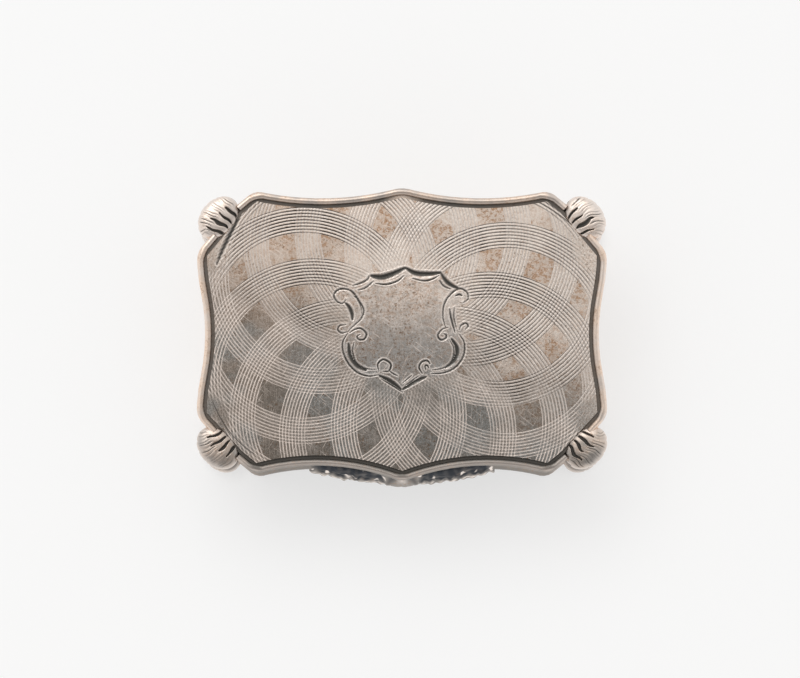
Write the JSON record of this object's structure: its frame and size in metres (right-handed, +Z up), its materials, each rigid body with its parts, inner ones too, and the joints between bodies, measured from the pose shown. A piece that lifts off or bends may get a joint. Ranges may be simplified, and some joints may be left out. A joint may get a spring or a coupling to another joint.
{
  "type": "silver vinaigrette",
  "caption": "Small serpentine silver vinaigrette with a hinged engine-turned lid, leaf corners, a front thumbpiece and a hinged pierced gilt grille over a scented sponge.",
  "frame": {"origin": "on the table under the middle of the case, in the plane of the bottom plate's underside", "axes": "+X along the width to the right, +Y back towards the hinge, +Z up through the lid; the thumbpiece is at -Y"},
  "size_m": [0.042, 0.0306, 0.0115],
  "materials": {
    "silver": "worn engine-turned silver with tarnish",
    "gilt": "satin gilding",
    "sponge": "soft and porous"
  },
  "bodies": {
    "base": {"base_plate": "silver", "base_moulding": "silver", "base_wall": "silver", "bezel": "gilt", "grille_ledge": "gilt", "base_hinge_lugs": "silver", "hinge_pin": "silver", "grille_hinge_brackets": "gilt", "grille_pin": "gilt", "sponge": "sponge", "base_leaf_front_left": "silver", "base_leaf_front_right": "silver", "base_leaf_back_left": "silver", "base_leaf_back_right": "silver"},
    "lid": {"lid_panel": "silver", "lid_moulding": "silver", "lid_wall": "silver", "lid_hinge_lugs": "silver", "thumbpiece": "silver", "lid_leaf_front_left": "silver", "lid_leaf_front_right": "silver", "lid_leaf_back_left": "silver", "lid_leaf_back_right": "silver"},
    "grille": {"grille_plate": "gilt", "grille_hinge_lugs": "gilt", "grille_tab": "gilt"}
  },
  "joints": [
    {"name": "lid_hinge", "type": "hinge", "parent": "base", "child": "lid", "pos_m": [0, 0.01312, 0.00705], "axis": [-1, 0, 0], "range_deg": [0, 110]},
    {"name": "grille_hinge", "type": "hinge", "parent": "base", "child": "grille", "pos_m": [0, 0.01082, 0.00762], "axis": [-1, 0, 0], "range_deg": [0, 88]}
  ],
  "couplings": [
    {"joint": "grille_hinge", "follows": "lid_hinge", "ratio": 0.8}
  ]
}
